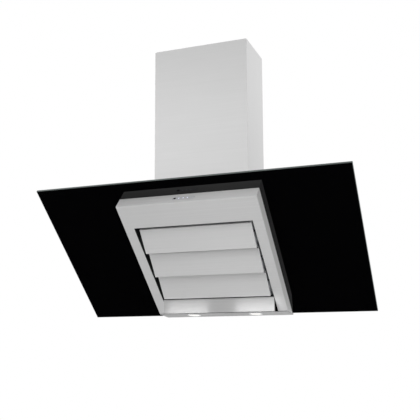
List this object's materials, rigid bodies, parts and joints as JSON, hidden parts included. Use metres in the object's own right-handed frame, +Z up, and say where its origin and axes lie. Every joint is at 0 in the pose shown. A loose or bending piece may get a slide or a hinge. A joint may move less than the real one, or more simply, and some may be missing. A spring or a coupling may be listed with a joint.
{
  "type": "island range hood",
  "caption": "Ceiling-hung cooker hood: a leaning black glass panel with a louvred steel casing and lamps, under a telescopic steel chimney.",
  "frame": {"origin": "middle of the ceiling plate's top face, where the hood hangs from the ceiling", "axes": "+Z up, -Y towards the cook and the louvres, +X to the right seen from the cook"},
  "size_m": [0.9, 0.3763, 0.7747],
  "materials": {
    "brushed_steel": "brushed along the width, satin",
    "chimney_steel": "brushed, satin",
    "black_glass": "toughened float glass, black enamelled on its rear, polished edges",
    "galvanised_steel": "zinc coated, dull",
    "black_plastic": "moulded, matt",
    "rubber": "foam rubber",
    "polished_chrome": "polished",
    "frosted_lens": "frosted, lit",
    "grey_window": "smoked, glossy",
    "circuit_board": "solder resist",
    "white_plastic": "moulded, satin",
    "mill_aluminium": "mill finish"
  },
  "bodies": {
    "louvre_1": {"louvre_1": "brushed_steel", "louvre_1_shaft": "galvanised_steel"},
    "louvre_2": {"louvre_2": "brushed_steel", "louvre_2_shaft": "galvanised_steel"},
    "louvre_3": {"louvre_3": "brushed_steel", "louvre_3_shaft": "galvanised_steel"},
    "link": {"link_bar": "galvanised_steel"},
    "deflector": {"deflector": "brushed_steel", "deflector_shaft": "galvanised_steel"},
    "impeller": {"impeller": "black_plastic", "motor_shaft": "galvanised_steel"},
    "flap_front": {"flap_front": "mill_aluminium"},
    "flap_rear": {"flap_rear": "mill_aluminium"},
    "latch": {"filter_latch": "black_plastic"},
    "ceiling_frame": {"ceiling_plate": "galvanised_steel", "upper_post_1": "galvanised_steel", "upper_post_2": "galvanised_steel", "upper_post_3": "galvanised_steel", "upper_post_4": "galvanised_steel", "chimney_upper": "chimney_steel"},
    "hood": {"front_casing": "brushed_steel", "lamp_panel": "brushed_steel", "rear_housing": "brushed_steel", "rear_cover": "brushed_steel", "chimney_lower": "chimney_steel", "glass_panel": "black_glass", "frame_foot": "galvanised_steel", "filter_carrier": "galvanised_steel", "blower_scroll": "galvanised_steel", "motor_bracket": "galvanised_steel", "flap_spindle": "galvanised_steel", "lower_post_1": "galvanised_steel", "lower_post_2": "galvanised_steel", "lower_post_3": "galvanised_steel", "lower_post_4": "galvanised_steel", "clamp_nut_1": "galvanised_steel", "clamp_nut_2": "galvanised_steel", "clamp_nut_3": "galvanised_steel", "clamp_nut_4": "galvanised_steel", "bearing_rail_left": "black_plastic", "bearing_rail_right": "black_plastic", "control_carrier": "black_plastic", "inlet_ring": "black_plastic", "cable_gland": "black_plastic", "outlet_collar": "black_plastic", "glass_gasket": "rubber", "lamp_bezel_left": "polished_chrome", "lamp_bezel_right": "polished_chrome", "lamp_lens_left": "frosted_lens", "lamp_lens_right": "frosted_lens", "control_window": "grey_window", "control_board": "circuit_board", "lamp_body_left": "white_plastic", "lamp_body_right": "white_plastic", "louvre_motor": "white_plastic", "electronics_box": "white_plastic", "run_capacitor": "white_plastic", "filter_frame": "mill_aluminium", "filter_mesh": "mill_aluminium", "blower_motor": "mill_aluminium"}
  },
  "joints": [
    {"name": "height_slide", "type": "slide", "parent": "ceiling_frame", "child": "hood", "axis": [0, 0, -1], "range_m": [0, 0.28]},
    {"name": "louvre_1_hinge", "type": "hinge", "parent": "hood", "child": "louvre_1", "pos_m": [0, -0.10881, -0.56129], "axis": [1, 0, 0], "range_deg": [0, 11.1]},
    {"name": "louvre_2_hinge", "type": "hinge", "parent": "hood", "child": "louvre_2", "pos_m": [0, -0.04408, -0.62164], "axis": [1, 0, 0], "range_deg": [0, 11.1]},
    {"name": "louvre_3_hinge", "type": "hinge", "parent": "hood", "child": "louvre_3", "pos_m": [0, 0.02064, -0.682], "axis": [1, 0, 0], "range_deg": [0, 11.1]},
    {"name": "link_pin", "type": "hinge", "parent": "louvre_1", "child": "link", "pos_m": [0.18, -0.09746, -0.55308], "axis": [1, 0, 0], "range_deg": [-11.1, 0]},
    {"name": "deflector_hinge", "type": "hinge", "parent": "hood", "child": "deflector", "pos_m": [0, 0.0602, -0.72396], "axis": [1, 0, 0], "range_deg": [0, 40.4]},
    {"name": "impeller_spin", "type": "hinge", "parent": "hood", "child": "impeller", "pos_m": [0, 0.047, -0.5345], "axis": [1, 0, 0], "continuous": true},
    {"name": "flap_front_hinge", "type": "hinge", "parent": "hood", "child": "flap_front", "pos_m": [0, 0, -0.4317], "axis": [1, 0, 0], "range_deg": [-66, 0]},
    {"name": "flap_rear_hinge", "type": "hinge", "parent": "hood", "child": "flap_rear", "pos_m": [0, 0, -0.4317], "axis": [1, 0, 0], "range_deg": [0, 66]},
    {"name": "latch_slide", "type": "slide", "parent": "hood", "child": "latch", "axis": [0, -0.7314, 0.682], "range_m": [-0.005, 0], "stiffness_N_per_m": 300, "springref_m": 0.003}
  ],
  "couplings": [
    {"joint": "louvre_2_hinge", "follows": "louvre_1_hinge", "ratio": 1},
    {"joint": "louvre_3_hinge", "follows": "louvre_1_hinge", "ratio": 1},
    {"joint": "link_pin", "follows": "louvre_1_hinge", "ratio": -1}
  ]
}
